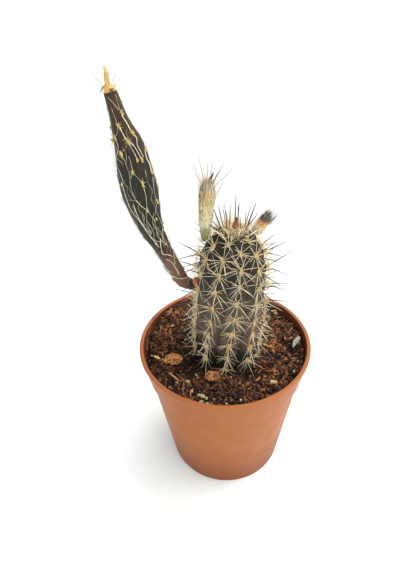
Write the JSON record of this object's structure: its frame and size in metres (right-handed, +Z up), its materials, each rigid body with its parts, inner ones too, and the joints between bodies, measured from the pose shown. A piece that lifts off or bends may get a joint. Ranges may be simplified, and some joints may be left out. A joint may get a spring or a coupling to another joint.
{
  "type": "potted cactus",
  "caption": "Small ribbed spiny cactus with a long dried seed pod and woolly flower remains, standing in soil in a plain tapered nursery pot.",
  "frame": {"origin": "centre of the flat underside of the pot", "axes": "+Z up through the rim; -Y is the front, with the seed pod on the -X side"},
  "size_m": [0.055, 0.055, 0.1304],
  "materials": {
    "pot": "satin moulded terracotta-coloured plastic",
    "soil": "damp coir and peat potting mix",
    "cactus_skin": "dark waxy skin with woolly areoles and spines",
    "seed_pod": "dried dark skin with a pale raised net",
    "rust_felt": "rust-brown felt",
    "dry_flower": "golden dried petals",
    "straw_wool": "straw-coloured wool and bristles",
    "grey_wool": "grey and tan wool with dark bristles",
    "coir": "rough orange-brown coir",
    "grey_bark": "weathered grey bark",
    "straw": "dry straw",
    "pumice": "rough pale pumice"
  },
  "bodies": {
    "root": {"pot": "pot", "soil": "soil", "cactus_body": "cactus_skin", "seed_pod": "seed_pod", "pod_seat": "rust_felt", "dry_flower": "dry_flower", "woolly_bud": "straw_wool", "flower_stump": "grey_wool", "crown_bud": "rust_felt", "coir_left": "coir", "coir_front": "coir", "bark_flake": "grey_bark", "straw_chip": "straw", "pumice_1": "pumice", "pumice_2": "pumice", "pumice_3": "pumice", "pumice_4": "pumice", "pumice_5": "pumice"}
  },
  "joints": []
}
